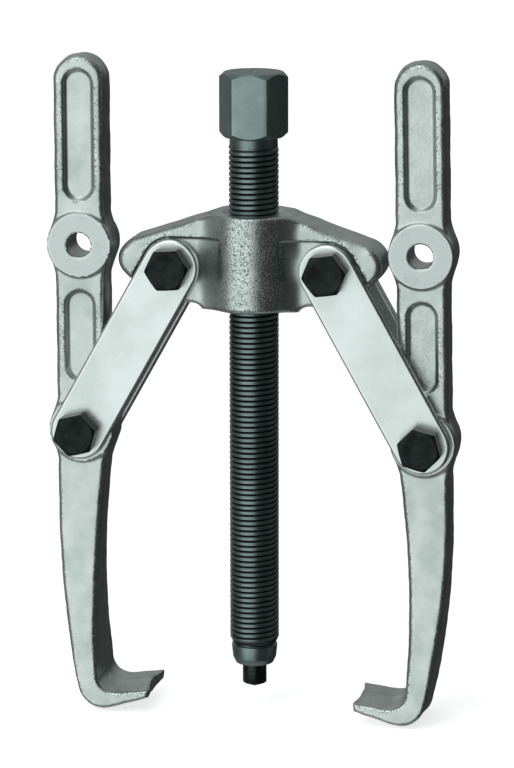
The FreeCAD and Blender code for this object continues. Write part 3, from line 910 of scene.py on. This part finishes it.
def makeForgedZinc():
    finish = {"light": tone("ced6d3"), "dark": tone("b0bbb8"), "grain": tone("3c4745"),
              "turned": tone("d0d6d4"), "ringPitch": 0.3}
    bench = Finish("forged_zinc", {"Metallic": 1.0})
    cloud = bench.noise(bench.place, 0.12, 4, 0.6)
    fine = bench.noise(bench.place, 3.2, 3, 0.7)
    grain = bench.noise(bench.place, 2.3, 2.0, 0.65)
    wrinkle = bench.noise(bench.place, 0.75, 4, 0.6, 1.2)
    edge = bench.between(bench.tag("edge"), 0.1, 0.65)
    machined = bench.tag("machined").clamp(0.0, 1.0)
    panel = bench.tag("panel").clamp(0.0, 1.0)
    rubbed = bench.between(bench.noise(bench.place, 0.11, 2), 0.54, 0.66) * machined
    pits = bench.between(grain, 0.54, 0.64) * (edge * (1.0 - machined) + rubbed * 0.7)
    flecks = bench.between(fine, 0.62, 0.72) * 0.3
    base = bench.mix(bench.between(cloud + (fine - 0.5) * 0.5, 0.25, 0.75), finish["dark"], finish["light"])
    base = bench.mix((pits * 0.85 + flecks).clamp(), base, finish["grain"])
    rings = (bench.tag("turned") * (2 * math.pi / finish["ringPitch"])).apply("SINE")
    turned = bench.mix(bench.between(fine, 0.2, 0.8), finish["dark"], finish["turned"])
    height = (pits * 0.26 + grain * edge * 0.3 + wrinkle * panel * 0.9 + fine * 0.2) * (1.0 - machined)
    height = height + rings * machined * 0.03 + fine * machined * 0.1 + grain * rubbed * 0.4
    rough = 0.33 + (fine - 0.5) * 0.2 + flecks * 0.3 - edge * 0.12
    return bench.paint(colour=bench.mix((machined - pits).clamp(), base, turned), rough=rough.clamp(0.2, 0.8),
                       normal=bench.bumped(height, 0.14))


def makeStrapZinc():
    finish = {"light": tone("dde4e2"), "dark": tone("cad3d0"), "edge": tone("eef2f1"), "streak": 0.16}
    bench = Finish("strap_zinc", {"Metallic": 1.0})
    cloud = bench.noise(bench.place, 0.06, 3)
    fine = bench.noise(bench.place, 2.6, 3, 0.6)
    streak = bench.noise(bench.stretched((1.6, 1.6, 0.12)), 1.0, 3, 0.6)
    edge = bench.tag("edge").clamp(0.0, 1.0)
    base = bench.mix(bench.between(cloud + (streak - 0.5) * finish["streak"], 0.3, 0.7), finish["dark"],
                     finish["light"])
    # painted highlight: the bevelled edges are painted lighter, towards the edge colour
    base = bench.mix(edge * 0.5, base, finish["edge"])
    rough = 0.3 + (fine - 0.5) * 0.16 + (streak - 0.5) * 0.08 - edge * 0.06
    return bench.paint(colour=base, rough=rough.clamp(0.18, 0.6),
                       normal=bench.bumped(fine * 0.6 + streak * 0.4, 0.018))


def makePhosphateSteel():
    finish = {"crest": tone("8d9e9b"), "valley": tone("1c2423"), "worn": tone("bcc6c4"),
              "dust": tone("7a8b88")}
    bench = Finish("phosphate_steel", {"Metallic": 0.92})
    cloud = bench.noise(bench.place, 0.12, 3)
    fine = bench.noise(bench.place, 3.0, 4, 0.65)
    crest = bench.tag("crest").clamp(0.0, 1.0)
    base = bench.mix(bench.between(cloud + (fine - 0.5) * 0.6, 0.25, 0.75), finish["dust"], finish["crest"])
    # painted shade: the thread's grooves are painted near-black, and its crests keep the lighter tones
    base = bench.mix(crest, finish["valley"], base)
    worn = bench.corner(0.3) * bench.between(fine, 0.4, 0.62)
    base = bench.mix((worn * 0.55).clamp(), base, finish["worn"])
    rough = 0.33 + (fine - 0.5) * 0.22 - worn * 0.1
    return bench.paint(colour=base, rough=rough.clamp(0.2, 0.8), normal=bench.bumped(fine, 0.02))


def makeBlackOxide():
    finish = {"dark": tone("151b1a"), "light": tone("262e2c"), "worn": tone("8b9593")}
    bench = Finish("black_oxide", {"Metallic": 0.5, "Specular IOR Level": 0.15})
    cloud = bench.noise(bench.place, 0.3, 3)
    fine = bench.noise(bench.place, 2.8, 4, 0.65)
    base = bench.mix(bench.between(cloud + (fine - 0.5) * 0.4, 0.3, 0.7), finish["dark"], finish["light"])
    worn = bench.corner(0.22) * bench.between(fine, 0.45, 0.62)
    base = bench.mix((worn * 0.5).clamp(), base, finish["worn"])
    rough = 0.27 + (fine - 0.5) * 0.25 + (cloud - 0.5) * 0.1
    return bench.paint(colour=base, rough=rough.clamp(0.15, 0.7), normal=bench.bumped(fine, 0.03))


def makeHardenedPin():
    finish = {"dark": tone("1b2120"), "light": tone("39423f"), "bright": tone("d2d8d7")}
    bench = Finish("hardened_pin", {"Metallic": 0.85})
    fine = bench.noise(bench.place, 2.2, 4, 0.6)
    around = bench.noise(bench.stretched((0.3, 0.3, 3.0)), 1.0, 3)
    point = bench.tag("crest").clamp(0.0, 1.0)
    base = bench.mix(bench.between(fine, 0.3, 0.7), finish["dark"], finish["light"])
    base = bench.mix((point * 0.9).clamp(), base, finish["bright"])
    rough = 0.28 + (around - 0.5) * 0.25
    return bench.paint(colour=base, rough=rough.clamp(0.15, 0.6),
                       normal=bench.bumped(around * 0.7 + fine * 0.3, 0.015))


def makeNylon():
    finish = {"light": tone("dfe2dc"), "dark": tone("b9beb4")}
    bench = Finish("nylon", {"Metallic": 0.0, "Subsurface Weight": 0.2, "Subsurface Scale": 0.001})
    cloud = bench.noise(bench.place, 0.5, 3)
    fine = bench.noise(bench.place, 4.0, 3)
    base = bench.mix(bench.between(cloud, 0.3, 0.7), finish["dark"], finish["light"])
    return bench.paint(colour=base, rough=(0.42 + (fine - 0.5) * 0.2).clamp(0.3, 0.7),
                       normal=bench.bumped(fine, 0.012))


materials = {
    "forged_zinc": makeForgedZinc(),
    "strap_zinc": makeStrapZinc(),
    "phosphate_steel": makePhosphateSteel(),
    "black_oxide": makeBlackOxide(),
    "hardened_pin": makeHardenedPin(),
    "nylon": makeNylon(),
}
print("materials ready")


threadTree = makeThreadTree()
pieces = [makeSpindle(), makeTipPin()]
print("screw ready")
for side in sides:
    pieces.append(makeArm(side))
    for row in ("front", "rear"):
        pieces.append(makeStrap(side, row))
    for level in ("upper", "lower"):
        pieces += makeHingeBolt(level, side)
    print(side, "side ready")
pieces.append(makeCrosshead())
for piece in pieces:
    piece.data.materials.clear()
    piece.data.materials.append(materials[piece["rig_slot"]])
print("pieces ready:", len(pieces))


stageSizes = {
    "floorRadius": 6.0,
    "keyTurn": -20.0,
    "keyRise": 50.0,
    "keyDistance": 1.4,
    "keyWidth": 0.7,
    "keyHeight": 1.2,
    "keyPower": 1.2,
    "skyFront": 1.1,
    "frontHold": 18.0,
    "frontFade": 44.0,
    "skyBack": 0.26,
    "skyRight": 0.05,
    "skyBelow": 0.35,
    "cameraTurn": 11.6,
    "cameraRise": 12.3,
    "cameraDistance": 1.0,
    "cameraLens": 166.6,
    "cameraRoll": -0.1,
    "target": (0.0, 0.0, 0.086),
    "aimRight": 0.0008,
    "aimUp": 0.00103,
}


def bearing(turn, rise):
    # a unit vector from the front, turned towards +X and raised
    turn, rise = math.radians(turn), math.radians(rise)
    return Vector((math.sin(turn) * math.cos(rise), -math.cos(turn) * math.cos(rise), math.sin(rise)))


def makeFloor():
    size = stageSizes
    low = min(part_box(node)[0].z for node in frame["nodes"])
    mesh = bpy.data.meshes.new("floor")
    work = bmesh.new()
    bmesh.ops.create_circle(work, cap_ends=True, segments=96, radius=size["floorRadius"])
    work.to_mesh(mesh)
    work.free()
    mesh.transform(Matrix.Translation((0, 0, low - 0.0003)))
    floor = bpy.data.objects.new("floor", mesh)
    bpy.context.scene.collection.objects.link(floor)
    bench = Finish("floor_paper", {"Roughness": 0.9, "Emission Strength": 0.75})
    shade = bench.mix(bench.noise(bench.place, 0.01, 2), tone("f4f4f4"), tone("f8f8f8"))
    feed(bench.tree, bench.shader.inputs["Base Color"], shade)
    feed(bench.tree, bench.shader.inputs["Emission Color"], shade)
    mesh.materials.append(bench.material)
    floor.visible_glossy = False
    floor.visible_diffuse = False


def makeSky():
    size = stageSizes
    world = bpy.data.worlds.new("studio")
    bpy.context.scene.world = world
    world.use_nodes = True
    bench = Bench(world.node_tree)
    bench.tree.nodes.clear()
    direction = bench.add("ShaderNodeTexCoord", out="Generated")
    parts = bench.tree.nodes.new("ShaderNodeSeparateXYZ")
    feed(bench.tree, parts.inputs[0], direction)
    x, y, z = (Value(bench.tree, parts.outputs[k]) for k in range(3))
    turn = x.math("ARCTAN2", x, 0.0 - y) * (180 / math.pi)
    off = (turn - size["keyTurn"]).apply("ABSOLUTE")
    front = bench.between(off, size["frontHold"], size["frontFade"], 1, 0) * bench.between(z, -0.75, -0.35)
    back = bench.between(y, -0.1, 0.7) * bench.between(z, 0.02, 0.22)
    left = bench.between(x, -0.8, 0.2, 0.2, 0.0) + bench.between(z, -0.95, -0.7, size["skyBelow"], 0.0)
    light = size["skyRight"] + front * size["skyFront"] + back * size["skyBack"] + left
    light = light + bench.between(z, 0.6, 1.0) * 0.25
    background = bench.tree.nodes.new("ShaderNodeBackground")
    background.inputs["Color"].default_value = tone("f6fbfa")
    feed(bench.tree, background.inputs["Strength"], light)
    output = bench.tree.nodes.new("ShaderNodeOutputWorld")
    bench.join(background.outputs[0], output.inputs[0])


def makeKeyLight():
    size = stageSizes
    data = bpy.data.lights.new("key", "AREA")
    data.shape = "RECTANGLE"
    data.size, data.size_y = size["keyWidth"], size["keyHeight"]
    data.energy = size["keyPower"]
    lamp = bpy.data.objects.new("key", data)
    away = bearing(size["keyTurn"], size["keyRise"])
    lamp.location = Vector(size["target"]) + away * size["keyDistance"]
    lamp.rotation_euler = away.to_track_quat("Z", "Y").to_euler()
    bpy.context.scene.collection.objects.link(lamp)


def makeCamera():
    size = stageSizes
    data = bpy.data.cameras.new("camera")
    data.lens = size["cameraLens"]
    data.sensor_width = 36.0
    camera = bpy.data.objects.new("camera", data)
    away = bearing(size["cameraTurn"], size["cameraRise"])
    facing = away.to_track_quat("Z", "Y").to_matrix()
    aim = Vector(size["target"]) + facing @ Vector((size["aimRight"], size["aimUp"], 0))
    camera.location = aim + away * size["cameraDistance"]
    camera.rotation_euler = (facing @ Matrix.Rotation(math.radians(size["cameraRoll"]), 3, "Z")).to_euler()
    bpy.context.scene.collection.objects.link(camera)
    bpy.context.scene.camera = camera


makeFloor()
makeSky()
makeKeyLight()
makeCamera()
bpy.context.scene.view_settings.view_transform = "Standard"
print("stage ready")
